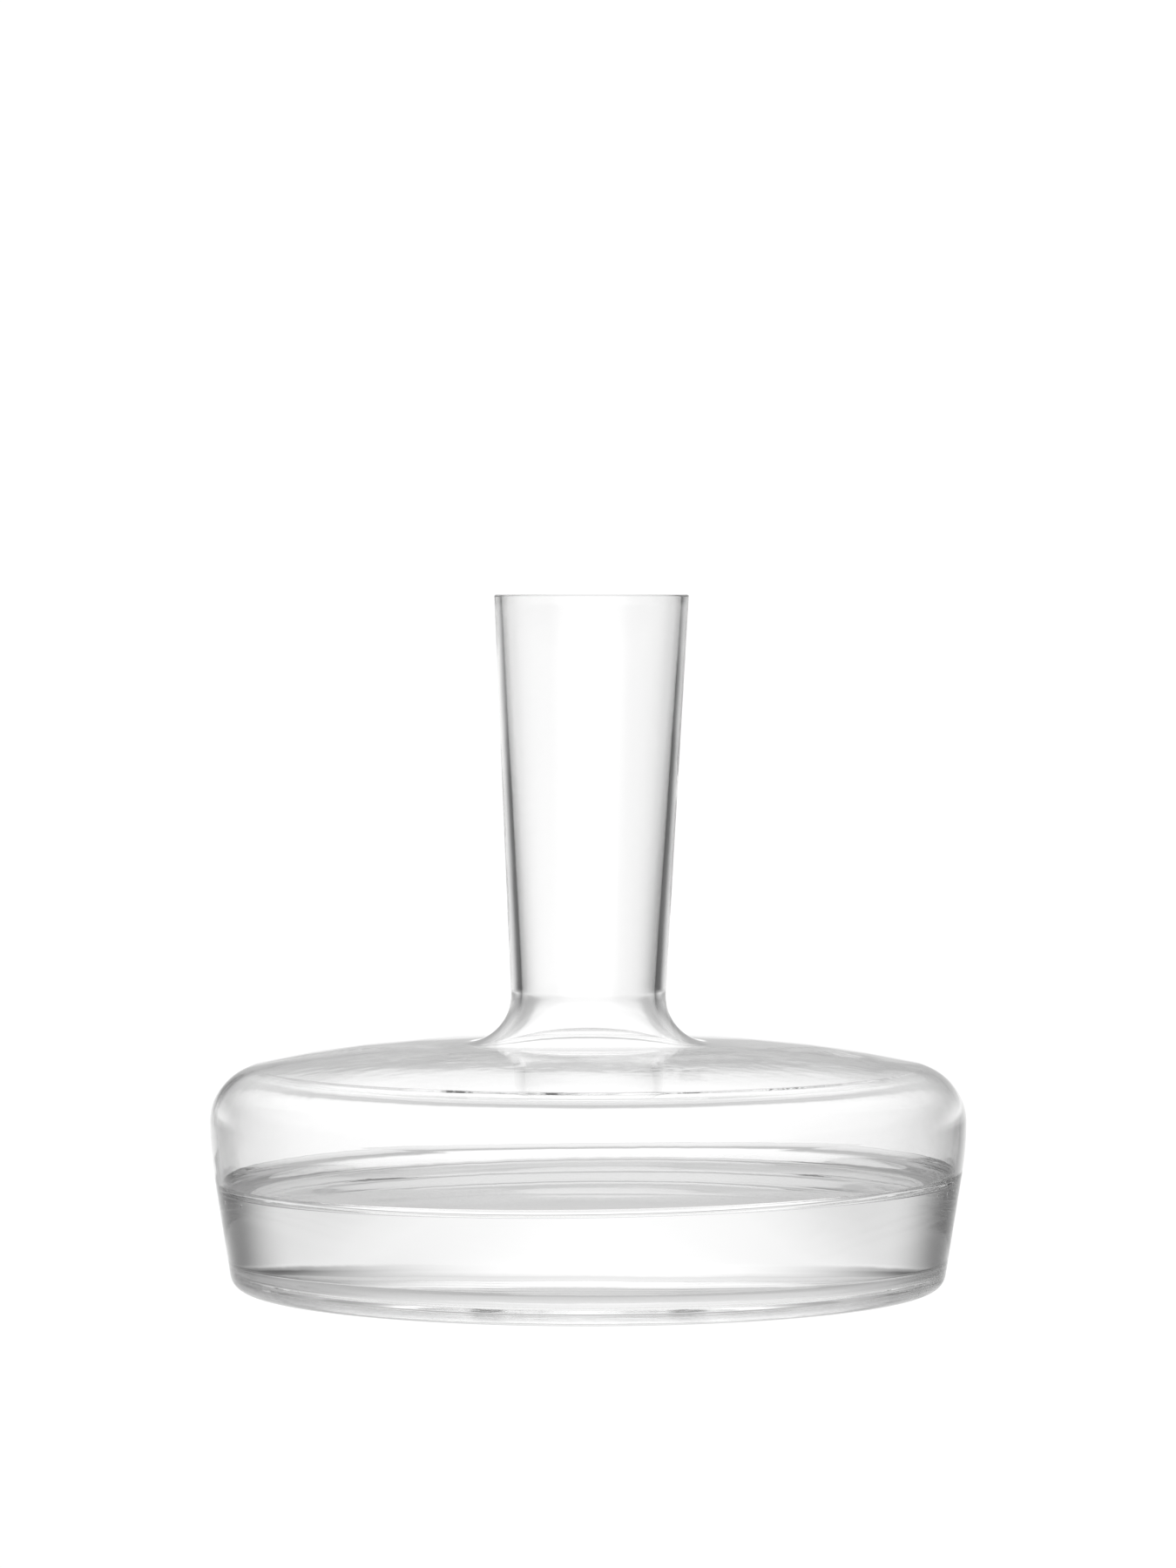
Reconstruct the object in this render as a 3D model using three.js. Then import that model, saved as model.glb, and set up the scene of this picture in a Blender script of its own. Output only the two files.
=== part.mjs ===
// A wine decanter in clear blown glass, part filled with still water.
// Millimetres, +Z up. The origin is the centre of the base, on the surface that the decanter stands on.

import * as THREE from 'three';

// Overall sizes of the outer skin.
const overallHeight = 192;
const bodyRadius = 105;        // widest circle of the bowl
const mouthRadius = 27;
const neckRadius = 21.5;       // waist of the neck, just above its foot

const widestHeight = 46;       // widest circle of the bowl, above the standing surface

// Curves of the outer skin.
const sideLean = THREE.MathUtils.degToRad(9.1);  // the side leans in towards the base
const bellyRadius = 84;        // from the leaning side round to the widest circle
const shoulderRadius = 15.8;   // from the widest circle round to the crown of the shoulder
const crownRise = 5.7;         // how far the crown rises from the shoulder's round to the neck's foot
const neckFootRadius = 13.4;   // hollow curve from the shoulder up into the neck
const baseCornerRadius = 4;
const rimRoundRadius = 0.6;    // fire-polished edges of the mouth

// Glass thickness, which changes along the piece as the glass is blown out.
const floorThickness = 4.5;
const sideThickness = 1.9;
const shoulderThickness = 2.8;
const neckFootThickness = 3.1;
const rimThickness = 1.9;
const floorCornerRadius = 8;   // inner corner between floor and side

// Underside: a flat standing ring round a very shallow hollow.
const standingRingWidth = 17;
const hollowDepth = 1.2;

// Contents.
const waterDepth = 24.3;       // above the inner floor
const waterGap = 0.3;          // clearance that keeps the water's solid off the glass

// Fineness of the facets.
const stepsAround = 72;
const arcStep = THREE.MathUtils.degToRad(17);
const fewestArcSteps = 3;

const quarterTurn = Math.PI / 2;
const shoulderHeight = widestHeight + shoulderRadius + crownRise;

const outerSkin = {
  floorHeight: 0,
  bodyRadius,
  mouthRadius,
  neckRadius,
  shoulderHeight,
  bellyRadius,
  shoulderRadius,
  neckFootRadius,
  floorCornerRadius: baseCornerRadius,
};

const innerSkin = {
  floorHeight: floorThickness,
  bodyRadius: bodyRadius - sideThickness,
  mouthRadius: mouthRadius - rimThickness,
  neckRadius: neckRadius - neckFootThickness,
  shoulderHeight: shoulderHeight - shoulderThickness,
  bellyRadius: bellyRadius - sideThickness,
  shoulderRadius: shoulderRadius - sideThickness,
  neckFootRadius: neckFootRadius + neckFootThickness,
  floorCornerRadius,
};

// The same skin moved towards the inside of the decanter by a constant gap.
function movedIn(skin, gap) {
  return {
    floorHeight: skin.floorHeight + gap,
    bodyRadius: skin.bodyRadius - gap,
    mouthRadius: skin.mouthRadius - gap,
    neckRadius: skin.neckRadius - gap,
    shoulderHeight: skin.shoulderHeight - gap,
    bellyRadius: skin.bellyRadius - gap,
    shoulderRadius: skin.shoulderRadius - gap,
    neckFootRadius: skin.neckFootRadius + gap,
    floorCornerRadius: skin.floorCornerRadius - gap,
  };
}

// An outline is drawn in the half plane x = radius, y = height.

function arcPoint(centre, radius, angle) {
  return new THREE.Vector2(
    centre.x + radius * Math.cos(angle),
    centre.y + radius * Math.sin(angle),
  );
}

function arc(centre, radius, from, to) {
  const steps = Math.max(fewestArcSteps, Math.ceil(Math.abs(to - from) / arcStep));
  const points = [];
  for (let i = 0; i <= steps; i += 1) {
    points.push(arcPoint(centre, radius, THREE.MathUtils.lerp(from, to, i / steps)));
  }
  return points;
}

// The arc that rounds the corner between two straight runs of an outline.
function roundedCorner(before, corner, after, radius) {
  const back = before.clone().sub(corner).normalize();
  const ahead = after.clone().sub(corner).normalize();
  const halfAngle = Math.acos(back.dot(ahead)) / 2;
  const toCentre = back.clone().add(ahead).setLength(radius / Math.sin(halfAngle));
  const centre = corner.clone().add(toCentre);
  const start = corner.clone().addScaledVector(back, radius / Math.tan(halfAngle));
  const turn = Math.sign(ahead.cross(back)) * (Math.PI - 2 * halfAngle);
  const from = start.sub(centre).angle();
  return arc(centre, radius, from, from + turn);
}

// Joins runs of points into one outline, leaving out a point that repeats the one before it.
function joined(...runs) {
  const outline = [];
  for (const point of runs.flat()) {
    const last = outline.at(-1);
    if (!last || last.distanceTo(point) > 1e-6) outline.push(point);
  }
  return outline;
}

// One skin of the glass, from the corner of its floor up to the mouth.
// Each run is tangent to the next, so only the radii and heights above shape it.
function skinOutline(skin) {
  const bellyCentre = new THREE.Vector2(skin.bodyRadius - skin.bellyRadius, widestHeight);
  const shoulderCentre = new THREE.Vector2(skin.bodyRadius - skin.shoulderRadius, widestHeight);
  const footCentre = new THREE.Vector2(
    skin.neckRadius + skin.neckFootRadius,
    skin.shoulderHeight + skin.neckFootRadius,
  );
  const floorCentre = new THREE.Vector2(0, skin.floorHeight);
  const mouth = new THREE.Vector2(skin.mouthRadius, overallHeight);

  const sideTop = arcPoint(bellyCentre, skin.bellyRadius, -sideLean);
  const sideFoot = new THREE.Vector2(
    sideTop.x - (sideTop.y - skin.floorHeight) * Math.tan(sideLean),
    skin.floorHeight,
  );

  // The crown is one wide arc, tangent to the shoulder and level where the neck's foot begins.
  const crownRun = shoulderCentre.x - footCentre.x;
  const crownRise = skin.shoulderHeight - widestHeight - skin.shoulderRadius;
  const crownSlope = 2 * Math.atan2(crownRise, crownRun);
  const crownRadius = skin.shoulderRadius + crownRun / Math.sin(crownSlope);
  const crownCentre = new THREE.Vector2(footCentre.x, skin.shoulderHeight - crownRadius);
  const crownStart = quarterTurn - crownSlope;

  // The neck is the straight line from the mouth that just touches the foot's curve.
  const toMouth = mouth.clone().sub(footCentre);
  const neckStart = toMouth.angle() + Math.acos(skin.neckFootRadius / toMouth.length());

  return joined(
    roundedCorner(floorCentre, sideFoot, sideTop, skin.floorCornerRadius),
    arc(bellyCentre, skin.bellyRadius, -sideLean, 0),
    arc(shoulderCentre, skin.shoulderRadius, 0, crownStart),
    arc(crownCentre, crownRadius, crownStart, quarterTurn),
    arc(footCentre, skin.neckFootRadius, 3 * quarterTurn, neckStart),
    mouth,
  );
}

// The shallow dome under the base, from the axis out to the standing ring.
function hollowOutline(ringOuterRadius) {
  const hollowRadius = ringOuterRadius - standingRingWidth;
  const domeRadius = (hollowRadius ** 2 + hollowDepth ** 2) / (2 * hollowDepth);
  const centre = new THREE.Vector2(0, hollowDepth - domeRadius);
  return arc(centre, domeRadius, quarterTurn, Math.acos(hollowRadius / domeRadius));
}

function revolved(outline) {
  const geometry = new THREE.LatheGeometry(outline, stepsAround);
  geometry.rotateX(quarterTurn);
  return geometry;
}

// The glass: up the outside, over the polished rim, and down the inside to the floor.
function glassVessel() {
  const outside = skinOutline(outerSkin);
  const inside = skinOutline(innerSkin).reverse();
  const outerEdge = outside.pop();
  const innerEdge = inside.shift();
  const outline = joined(
    hollowOutline(outside[0].x),
    outside,
    roundedCorner(outside.at(-1), outerEdge, innerEdge, rimRoundRadius),
    roundedCorner(outerEdge, innerEdge, inside[0], rimRoundRadius),
    inside,
    new THREE.Vector2(0, innerSkin.floorHeight),
  );
  const glass = new THREE.MeshStandardMaterial({
    color: 0xf4f7f6,
    roughness: 0.02,
    metalness: 0,
    transparent: true,
    opacity: 0.3,
  });
  const vessel = new THREE.Mesh(revolved(outline), glass);
  vessel.name = 'glass_vessel';
  return vessel;
}

// The water: the inside of the bowl, cut off level at the fill height.
function water() {
  const level = floorThickness + waterDepth;
  const wall = skinOutline(movedIn(innerSkin, waterGap));
  const dry = wall.findIndex((point) => point.y > level);
  const [wet, over] = [wall[dry - 1], wall[dry]];
  const edge = wet.clone().lerp(over, (level - wet.y) / (over.y - wet.y));
  const outline = joined(
    new THREE.Vector2(0, floorThickness + waterGap),
    wall.slice(0, dry),
    edge,
    new THREE.Vector2(0, level),
  );
  const clearWater = new THREE.MeshStandardMaterial({
    color: 0xe9f1f2,
    roughness: 0.0,
    metalness: 0,
    transparent: true,
    opacity: 0.25,
  });
  const fill = new THREE.Mesh(revolved(outline), clearWater);
  fill.name = 'water';
  return fill;
}

const decanter = new THREE.Group();
decanter.add(glassVessel(), water());

export default decanter;
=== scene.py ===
"""A wine decanter in clear blown glass, part filled with still water, in a white product studio."""

from collections import namedtuple
from math import acos, asin, atan2, cos, exp, hypot, pi, radians, sin, tan

import bmesh
import bpy
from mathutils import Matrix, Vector


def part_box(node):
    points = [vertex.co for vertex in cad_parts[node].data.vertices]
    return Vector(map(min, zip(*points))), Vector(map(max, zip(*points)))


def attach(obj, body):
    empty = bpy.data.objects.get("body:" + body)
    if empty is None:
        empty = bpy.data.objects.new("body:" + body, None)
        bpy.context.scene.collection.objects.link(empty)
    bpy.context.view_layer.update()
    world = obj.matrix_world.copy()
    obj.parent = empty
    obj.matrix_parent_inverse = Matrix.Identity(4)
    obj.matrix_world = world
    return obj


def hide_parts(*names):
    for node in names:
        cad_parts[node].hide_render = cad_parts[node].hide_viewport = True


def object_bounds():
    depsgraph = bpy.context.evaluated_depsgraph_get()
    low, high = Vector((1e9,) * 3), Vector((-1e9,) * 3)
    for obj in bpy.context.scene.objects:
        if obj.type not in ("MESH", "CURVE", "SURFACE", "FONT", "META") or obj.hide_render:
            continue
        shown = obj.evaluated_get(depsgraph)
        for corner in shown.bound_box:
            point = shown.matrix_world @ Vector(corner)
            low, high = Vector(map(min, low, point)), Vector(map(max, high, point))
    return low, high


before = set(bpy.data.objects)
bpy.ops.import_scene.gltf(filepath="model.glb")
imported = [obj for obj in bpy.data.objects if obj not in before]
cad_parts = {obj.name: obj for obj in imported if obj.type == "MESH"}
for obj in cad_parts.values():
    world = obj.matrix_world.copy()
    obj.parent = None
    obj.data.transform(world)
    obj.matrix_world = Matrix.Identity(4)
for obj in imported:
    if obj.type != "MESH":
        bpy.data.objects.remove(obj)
cad_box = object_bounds()


# ---- Camera ----
# A long lens level with the mouth and tipped a little down, the way a catalogue shows a tall piece.
# It is made first, and stands straight in front of the decanter.

lens_length = 140
camera_distance = 1.69
tip_down = radians(1.78)

camera = bpy.data.objects.new("camera", bpy.data.cameras.new("camera"))
camera.data.lens = lens_length
camera.location = (0, -camera_distance, cad_box[1].z)
camera.rotation_euler = (pi / 2 - tip_down, 0, 0)
bpy.context.scene.collection.objects.link(camera)
bpy.context.scene.camera = camera


# ---- Glass vessel ----
# The whole decanter is one wall of clear glass, blown, cracked off at the mouth and fire-polished there.
# It is thick in the floor and at the foot of the neck, and thins where the glass was blown out furthest.
# Both skins are drawn as outlines in the half plane y = 0 and spun round the axis.

_, vessel_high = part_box("glass_vessel")
mouth_height = vessel_high.z
side_lean = radians(9.1)
rim_round = 0.0006
same_point = 1e-6
floor_thickness = 0.0045
standing_ring = 0.017
hollow_depth = 0.0012
crown_slope = radians(11.99)
steps_around = 256
arc_step = radians(4)

Skin = namedtuple("Skin", "floor body corner belly crown_height crown_radius foot neck mouth")
outer_skin = Skin(
    floor=0,
    body=vessel_high.x,
    corner=0.0045,
    belly=0.084,
    crown_height=0.0675,
    crown_radius=0.2772,
    foot=0.0134,
    neck=0.0215,
    mouth=0.027,
)
thinner = Skin(
    floor=-floor_thickness,
    body=0.002,
    corner=-0.001,
    belly=0.002,
    crown_height=0.002,
    crown_radius=0.002,
    foot=-0.0031,
    neck=0.0031,
    mouth=0.0019,
)
inner_skin = Skin(*(outer - wall for outer, wall in zip(outer_skin, thinner)))


def polar(centre, radius, angle):
    return centre + Vector((radius * cos(angle), 0, radius * sin(angle)))


def start_at(outline, point):
    outline.verts.new(point)


def tip_of(outline):
    outline.verts.ensure_lookup_table()
    return outline.verts[-1]


def line_to(outline, point, steps=1):
    """Draws the outline on in a straight line."""
    start = tip_of(outline).co.copy()
    for i in range(steps):
        drawn = bmesh.ops.extrude_vert_indiv(outline, verts=[tip_of(outline)])
        drawn["verts"][0].co = start.lerp(point, (i + 1) / steps)


def arc_round(outline, centre, angle):
    """Draws the outline on round a centre, by an angle that is positive from +X towards +Z."""
    steps = max(4, round(abs(angle) / arc_step))
    tip = tip_of(outline)
    bmesh.ops.spin(outline, geom=[tip], cent=centre, axis=(0, -1, 0), angle=angle, steps=steps)


def foot_centre(skin):
    return Vector((skin.neck + skin.foot, 0, skin.crown_height + skin.foot))


def shoulder_round(skin):
    """The centre and radius of the round that runs from the sloping crown to the upright widest part."""
    crown_centre = Vector((foot_centre(skin).x, 0, skin.crown_height - skin.crown_radius))
    crown_edge = polar(crown_centre, skin.crown_radius, pi / 2 - crown_slope)
    radius = (skin.body - crown_edge.x) / (1 - sin(crown_slope))
    return polar(crown_edge, -radius, pi / 2 - crown_slope), radius, crown_centre


def leaning_side(skin):
    """Where the side would meet the floor at a sharp corner, the side's top, and the belly's centre."""
    shoulder_centre, _, _ = shoulder_round(skin)
    belly_centre = Vector((skin.body - skin.belly, 0, shoulder_centre.z))
    top = polar(belly_centre, skin.belly, -side_lean)
    foot = Vector((top.x - (top.z - skin.floor) * tan(side_lean), 0, skin.floor))
    return foot, top, belly_centre


def draw_side(outline, skin):
    """From the floor's edge round the corner and up the leaning side."""
    foot, top, _ = leaning_side(skin)
    turn = pi / 2 - side_lean
    corner_centre = foot + Vector((-skin.corner * tan(turn / 2), 0, skin.corner))
    line_to(outline, corner_centre - Vector((0, 0, skin.corner)), steps=10)
    arc_round(outline, corner_centre, turn)
    line_to(outline, top, steps=10)


def draw_bowl(outline, skin):
    """Round the belly and the shoulder and over the crown."""
    _, _, belly_centre = leaning_side(skin)
    shoulder_centre, _, crown_centre = shoulder_round(skin)
    arc_round(outline, belly_centre, side_lean)
    arc_round(outline, shoulder_centre, pi / 2 - crown_slope)
    arc_round(outline, crown_centre, crown_slope)


def draw_neck(outline, skin, side):
    """Round the neck's foot, up the neck and over half of the rim. side is 1 outside and -1 inside."""
    mouth = Vector((skin.mouth, 0, mouth_height))
    reach = mouth - foot_centre(skin)
    touch = atan2(reach.z, reach.x) + acos(skin.foot / hypot(reach.x, reach.z))
    arc_round(outline, foot_centre(skin), touch - 3 * pi / 2)
    heading = touch - pi / 2
    along = Vector((cos(heading), 0, sin(heading)))
    inward = Vector((-sin(heading), 0, cos(heading)))
    back = rim_round * (1 + side * cos(heading)) / sin(heading)
    line_to(outline, mouth - back * along, steps=40)
    rim_centre = mouth - back * along + side * rim_round * inward
    arc_round(outline, rim_centre, pi - heading if side > 0 else -heading)


def spun(outline):
    """A full turn of the outline about the axis, closed at the poles and faced outwards."""
    bmesh.ops.spin(
        outline, geom=outline.verts[:] + outline.edges[:], cent=(0, 0, 0), axis=(0, 0, 1),
        angle=2 * pi, steps=steps_around, use_merge=True,
    )
    bmesh.ops.remove_doubles(outline, verts=outline.verts, dist=same_point)
    bmesh.ops.recalc_face_normals(outline, faces=outline.faces)
    for face in outline.faces:
        face.smooth = True


def piece_from(shape, name, materials):
    mesh = bpy.data.meshes.new(name)
    shape.to_mesh(mesh)
    shape.free()
    for material in materials:
        mesh.materials.append(material)
    piece = bpy.data.objects.new(name, mesh)
    bpy.context.scene.collection.objects.link(piece)
    return piece


def node_of(tree, kind, *values, **settings):
    """A shader node with its settings made and its first sockets linked or filled in."""
    node = tree.nodes.new(kind)
    for name, value in settings.items():
        setattr(node, name, value)
    for socket, value in zip(node.inputs, values):
        if isinstance(value, bpy.types.NodeSocket):
            tree.links.new(value, socket)
        elif value is not None:
            socket.default_value = value
    return node


def math_of(tree, operation, *values):
    return node_of(tree, "ShaderNodeMath", *values, operation=operation).outputs[0]


def swell_group():
    """A height for clear surfaces that are not quite even: broad soft swells with finer ones over them."""
    group = bpy.data.node_groups.new("soft_swells", "ShaderNodeTree")
    group.interface.new_socket("Swells Per Metre", in_out="INPUT", socket_type="NodeSocketFloat")
    group.interface.new_socket("Height", in_out="OUTPUT", socket_type="NodeSocketFloat")
    given = group.nodes.new("NodeGroupInput").outputs[0]
    place = node_of(group, "ShaderNodeTexCoord").outputs["Object"]
    broad = node_of(group, "ShaderNodeTexNoise", place, None, given, 1.0, noise_dimensions="3D")
    finer = math_of(group, "MULTIPLY", given, fine_to_broad)
    fine = node_of(group, "ShaderNodeTexNoise", place, None, finer, 2.0, noise_dimensions="3D")
    height = math_of(group, "MULTIPLY_ADD", fine.outputs[0], fine_share, broad.outputs[0])
    result = group.nodes.new("NodeGroupOutput")
    group.links.new(height, result.inputs["Height"])
    return group


def clear_material(name, ior, swells_per_metre, swell_depth):
    """Colourless and perfectly clear, with a surface whose swells are about swell_depth high."""
    material = bpy.data.materials.new(name)
    material.use_nodes = True
    tree = material.node_tree
    shader = tree.nodes["Principled BSDF"]
    shader.inputs["Base Color"].default_value = (1, 1, 1, 1)
    shader.inputs["Roughness"].default_value = 0
    shader.inputs["IOR"].default_value = ior
    shader.inputs["Transmission Weight"].default_value = 1
    swells = node_of(tree, "ShaderNodeGroup", node_tree=soft_swells)
    swells.inputs["Swells Per Metre"].default_value = swells_per_metre
    bump = tree.nodes.new("ShaderNodeBump")
    bump.inputs["Distance"].default_value = swell_depth
    tree.links.new(swells.outputs["Height"], bump.inputs["Height"])
    tree.links.new(bump.outputs["Normal"], shader.inputs["Normal"])
    return material


glass_ior = 1.5
water_ior = 1.333
fine_share = 0.03
fine_to_broad = 6.0
glass_swells = 16
glass_swell_depth = 0.0005
soft_swells = swell_group()
dry_glass = clear_material("blown_clear_glass", glass_ior, glass_swells, glass_swell_depth)
wet_glass = clear_material("glass_against_water", glass_ior / water_ior, glass_swells, glass_swell_depth)

wall = bmesh.new()
start_at(wall, (0, 0, hollow_depth))
outer_foot, _, _ = leaning_side(outer_skin)
ring_inside = outer_foot.x - outer_skin.corner * tan((pi / 2 - side_lean) / 2) - standing_ring
dome_radius = (ring_inside ** 2 + hollow_depth ** 2) / (2 * hollow_depth)
dome_centre = Vector((0, 0, hollow_depth - dome_radius))
bmesh.ops.spin(
    wall, geom=[tip_of(wall)], cent=dome_centre, axis=(0, -1, 0),
    angle=-asin(ring_inside / dome_radius), steps=16,
)
draw_side(wall, outer_skin)
draw_bowl(wall, outer_skin)
draw_neck(wall, outer_skin, 1)
outer_rim = tip_of(wall)
start_at(wall, (0, 0, inner_skin.floor))
draw_side(wall, inner_skin)
draw_bowl(wall, inner_skin)
draw_neck(wall, inner_skin, -1)
wall.edges.new((outer_rim, tip_of(wall)))
spun(wall)

# The part of the inner skin that the water wets has its own surface, because light leaves the glass into
# water there. The glass was blown by hand, so it stands a little out of true to the water, and its neck leans.
water_level = floor_thickness + 0.0243
meniscus_rise = 0.0028
water_tilt = radians(0.8)
neck_lean = radians(0.45)
floor_slope_limit = 0.7
same_height = 1e-5
bmesh.ops.bisect_plane(
    wall, geom=wall.verts[:] + wall.edges[:] + wall.faces[:], dist=same_point,
    plane_co=(0, 0, water_level + meniscus_rise), plane_no=(-sin(water_tilt), 0, cos(water_tilt)),
)
for face in wall.faces:
    middle = face.calc_center_median()
    facing_axis = face.normal.x * middle.x + face.normal.y * middle.y < 0
    facing_up = face.normal.z > floor_slope_limit
    wetted = middle.z < water_level + meniscus_rise + middle.x * tan(water_tilt)
    if (facing_axis or facing_up) and wetted and middle.z > floor_thickness - same_height:
        face.material_index = 1
for v in wall.verts:
    v.co.x += max(v.co.z - outer_skin.crown_height, 0) * tan(neck_lean)

vessel = piece_from(wall, "blown_glass", [dry_glass, wet_glass])
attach(vessel, "root")
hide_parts("glass_vessel")


# ---- Water ----
# Still water fills the bottom of the bowl. It wets the glass and climbs it in a small hollow curve.
# Its sides and bottom lie against the glass, whose own surface bends the light there, so they are clear.

clearance = 0.00005
water_skin = inner_skin._replace(
    floor=inner_skin.floor + clearance,
    body=inner_skin.body - clearance,
    belly=inner_skin.belly - clearance,
    corner=inner_skin.corner - clearance,
)
water_swells = 9
water_swell_depth = 0.00008
even = 0  # only the open surface swells
no_bending = 1.0
open_water = clear_material("open_water", water_ior, water_swells, water_swell_depth)
held_water = clear_material("water_against_glass", no_bending, water_swells, even)
air_in_water = clear_material("air_in_water", 1 / water_ior, water_swells, even)

contact_height = water_level + meniscus_rise
surface_slope_limit = 0.2
capillary_length = 0.0027
meniscus_reach = 0.016
meniscus_steps = 40
closing_up = 1.5  # the steps shorten towards the glass

pool = bmesh.new()
start_at(pool, (0, 0, water_skin.floor))
draw_side(pool, water_skin)
foot, top, _ = leaning_side(water_skin)
tip_of(pool).co = foot.lerp(top, (contact_height - foot.z) / (top.z - foot.z))
bmesh.ops.delete(pool, geom=[v for v in pool.verts[:-1] if v.co.z > contact_height], context="VERTS")
contact = tip_of(pool)
contact_radius = contact.co.x
start_at(pool, (0, 0, water_level))
line_to(pool, Vector((contact_radius - meniscus_reach, 0, water_level)), steps=24)
for i in range(1, meniscus_steps):
    from_glass = meniscus_reach * (1 - i / meniscus_steps) ** closing_up
    height = water_level + meniscus_rise * exp(-from_glass / capillary_length)
    line_to(pool, Vector((contact_radius - from_glass, 0, height)))
pool.edges.new((tip_of(pool), contact))
spun(pool)
for face in pool.faces:
    if face.normal.z < surface_slope_limit:
        face.material_index = 1
for v in pool.verts:
    share = min(max(v.co.z - water_skin.floor, 0) / (water_level - water_skin.floor), 1)
    rise = share * v.co.x * tan(water_tilt)
    v.co.xy *= 1 + rise * tan(side_lean) / contact_radius
    v.co.z += rise

# A few tiny bubbles cling to the glass just under the surface, in two clusters at the front.
# Each is given as degrees round from +X, depth under the surface and radius.
bubble_room = 0.0002
for degrees_round, depth, radius in (
    (187, 0.0011, 0.0004), (191, 0.0008, 0.0003), (194, 0.0015, 0.0005), (198, 0.0010, 0.0003),
    (203, 0.0012, 0.0004), (338, 0.0010, 0.0003), (343, 0.0013, 0.0004), (347, 0.0009, 0.0003),
    (350, 0.0016, 0.0005), (354, 0.0010, 0.0003),
):
    lean_in = (depth + meniscus_rise) * tan(side_lean)
    out = contact_radius - lean_in - (radius + bubble_room) / cos(side_lean)
    across_bowl = out * cos(radians(degrees_round))
    away = out * sin(radians(degrees_round))
    centre = Vector((across_bowl, away, water_level - depth + across_bowl * tan(water_tilt)))
    made = bmesh.ops.create_uvsphere(pool, u_segments=16, v_segments=10, radius=radius)
    bmesh.ops.translate(pool, verts=made["verts"], vec=centre)
    for v in made["verts"]:
        for face in v.link_faces:
            face.material_index = 2
            face.smooth = True

water = piece_from(pool, "still_water", [open_water, held_water, air_in_water])
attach(water, "root")
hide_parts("water")


# ---- Studio ----
# A plain pale table in a plain white room, a big sphere that glows. Clear glass shows by what it bends into
# view, so the glow is brightest low down behind the piece and overhead, grey just over the table's far edge and
# in a band of the table, and dark at either side. It all turns with the camera, on a turntable.

turntable = bpy.data.objects.new("turntable", None)
bpy.context.scene.collection.objects.link(turntable)
follow = turntable.constraints.new("COPY_ROTATION")
follow.target = camera
follow.use_x = False
follow.use_y = False

# Brightness at each angle over the horizon, in degrees: in the bright strip behind the piece, and beside it.
light_behind = (
    (-90, 0.88), (-66, 0.94), (-54, 1.24), (-47, 1.22), (-43, 1.00), (-38, 0.52), (-33, 0.48), (-28, 0.84),
    (-22, 0.95), (-14, 0.88), (-11, 0.87), (-8, 1.03), (-5, 1.16), (-0.5, 1.12), (0.8, 1.00), (2.6, 0.54),
    (5, 0.46), (8.5, 0.42), (12, 0.48), (17, 0.68), (24, 0.88), (32, 1.20), (45, 1.32), (90, 1.30),
)
light_beside = (
    (-90, 0.95), (-50, 0.80), (-38, 0.48), (-32, 0.44), (-24, 0.50), (-14, 0.36), (-9, 0.14), (-4.5, 0.11),
    (-1.5, 0.40), (1.2, 0.88), (3.5, 0.80), (6, 0.58), (9, 0.38), (14, 0.36), (24, 0.50), (45, 0.84),
    (60, 1.08), (90, 1.25),
)
light_on_cards = 0.11
light_behind_camera = 0.68
strip_slope = 0.62
strip_offset = 0.045
# Where the cards begin and are full, to the side and up or down, and where the rear wall begins and is full.
card_sides = (0.50, 0.85)
card_heights = (0.34, 0.16)
rear_wall = (0.2, 0.8)
steepness_weight = 2.0
least_ahead = 0.001
plain_white = (1.04, 1.04, 1.04, 1)
bounces = 96
room_radius = 12
table_radius = 11


def glow_by_height(tree, height, stops):
    """Brightness by degrees over the horizon. height runs from 0 straight down to 1 straight up."""
    node = node_of(tree, "ShaderNodeValToRGB", height)
    node.color_ramp.interpolation = "EASE"
    for _ in range(len(stops) - 2):
        node.color_ramp.elements.new(0.5)
    for element, (degrees_up, brightness) in zip(node.color_ramp.elements, stops):
        element.position = (1 + sin(radians(degrees_up))) / 2
        element.color = (brightness, brightness, brightness, 1)
    return node.outputs["Color"]


def glowing(name):
    material = bpy.data.materials.new(name)
    material.use_nodes = True
    tree = material.node_tree
    tree.nodes.clear()
    out = tree.nodes.new("ShaderNodeOutputMaterial")
    lamp = tree.nodes.new("ShaderNodeEmission")
    tree.links.new(lamp.outputs["Emission"], out.inputs["Surface"])
    return material, tree, lamp


room_glow, tree, lamp = glowing("room_light")
place = node_of(tree, "ShaderNodeTexCoord")
heading = node_of(tree, "ShaderNodeVectorMath", place.outputs["Object"], operation="NORMALIZE")
axes = node_of(tree, "ShaderNodeSeparateXYZ", heading.outputs[0])
height = math_of(tree, "MULTIPLY_ADD", axes.outputs["Z"], 0.5, 0.5)
ahead = math_of(tree, "MAXIMUM", axes.outputs["Y"], least_ahead)
steepness = math_of(tree, "ABSOLUTE", axes.outputs["Z"])
reach = math_of(tree, "MULTIPLY_ADD", steepness, steepness_weight, ahead)
behind_camera = math_of(tree, "MULTIPLY", math_of(tree, "MINIMUM", axes.outputs["Y"], 0.0), -1.0)
across = math_of(tree, "ABSOLUTE", math_of(tree, "ADD", axes.outputs["X"], strip_offset))
across = math_of(tree, "ADD", across, behind_camera)
aside = node_of(
    tree, "ShaderNodeMapRange", math_of(tree, "DIVIDE", across, reach), 0.0, strip_slope, 0.0, 1.0,
    interpolation_type="SMOOTHSTEP",
)
backdrop = node_of(tree, "ShaderNodeMix", aside.outputs[0], data_type="RGBA")
tree.links.new(glow_by_height(tree, height, light_behind), backdrop.inputs[6])
tree.links.new(glow_by_height(tree, height, light_beside), backdrop.inputs[7])

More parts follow.
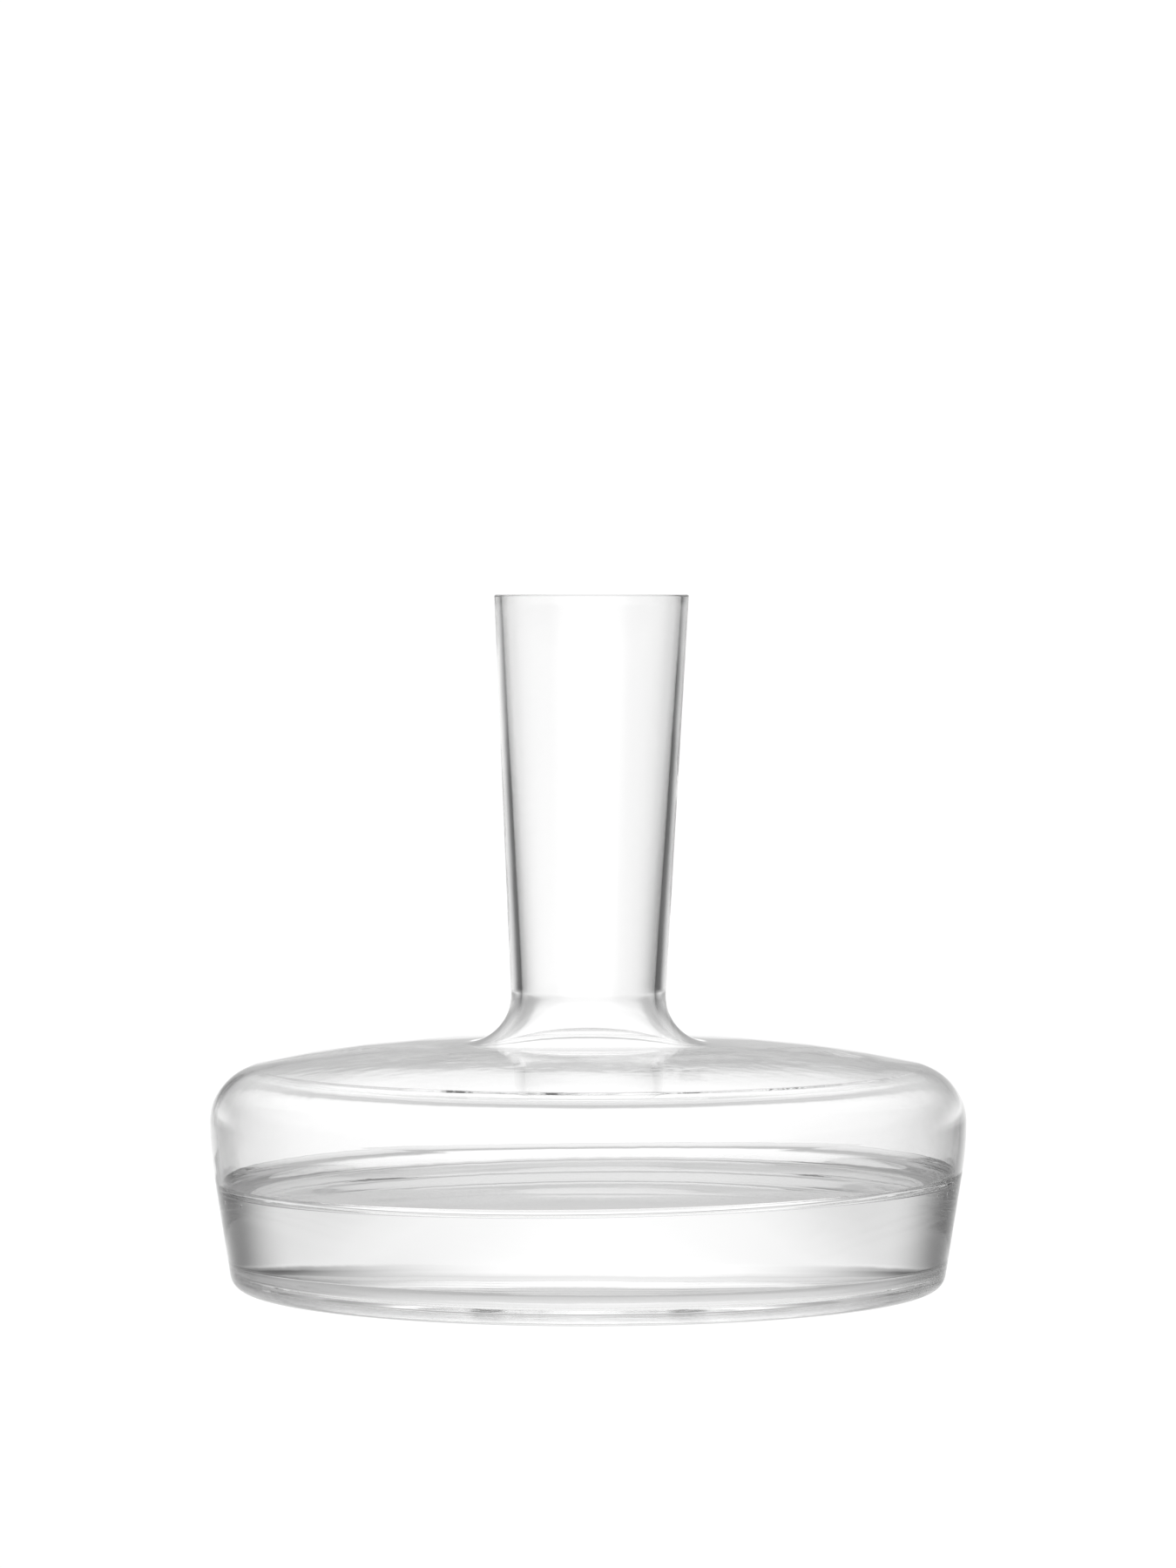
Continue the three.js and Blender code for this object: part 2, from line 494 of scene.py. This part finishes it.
# A dark card stands low on either side, so that the glass's edges show, and a paler wall behind the camera.
towards_side = math_of(tree, "ABSOLUTE", axes.outputs["X"])
card_along = node_of(
    tree, "ShaderNodeMapRange", towards_side, *card_sides, 0.0, 1.0, interpolation_type="SMOOTHSTEP",
)
card_up = node_of(
    tree, "ShaderNodeMapRange", steepness, *card_heights, 0.0, 1.0, interpolation_type="SMOOTHSTEP",
)
rearward = node_of(
    tree, "ShaderNodeMapRange", behind_camera, *rear_wall, 0.0, 1.0, interpolation_type="SMOOTHSTEP",
)
whole_room = node_of(tree, "ShaderNodeMix", rearward.outputs[0], data_type="RGBA")
tree.links.new(backdrop.outputs[2], whole_room.inputs[6])
whole_room.inputs[7].default_value = (light_behind_camera, light_behind_camera, light_behind_camera, 1)
carded = math_of(tree, "MULTIPLY", card_along.outputs[0], card_up.outputs[0])
light = node_of(tree, "ShaderNodeMix", carded, data_type="RGBA")
tree.links.new(whole_room.outputs[2], light.inputs[6])
light.inputs[7].default_value = (light_on_cards, light_on_cards, light_on_cards, 1)

seen = node_of(tree, "ShaderNodeLightPath")
shown = node_of(tree, "ShaderNodeMix", seen.outputs["Is Camera Ray"], data_type="RGBA")
tree.links.new(light.outputs[2], shown.inputs[6])
shown.inputs[7].default_value = plain_white
tree.links.new(shown.outputs[2], lamp.inputs["Color"])

room = bmesh.new()
bmesh.ops.create_uvsphere(room, u_segments=64, v_segments=32, radius=room_radius)
bmesh.ops.reverse_faces(room, faces=room.faces)
studio_room = piece_from(room, "studio_room", [room_glow])
studio_room.parent = turntable

table_glow, tree, lamp = glowing("table_light")
lamp.inputs["Color"].default_value = plain_white
top = bmesh.new()
bmesh.ops.create_circle(top, cap_ends=True, segments=96, radius=table_radius)
table = piece_from(top, "table", [table_glow])
table.location.z = -0.0002
table.visible_transmission = False
table.visible_glossy = False
table.visible_diffuse = False

scene = bpy.context.scene
scene.view_settings.view_transform = "Standard"
scene.cycles.max_bounces = bounces
scene.cycles.transmission_bounces = bounces
scene.cycles.glossy_bounces = bounces
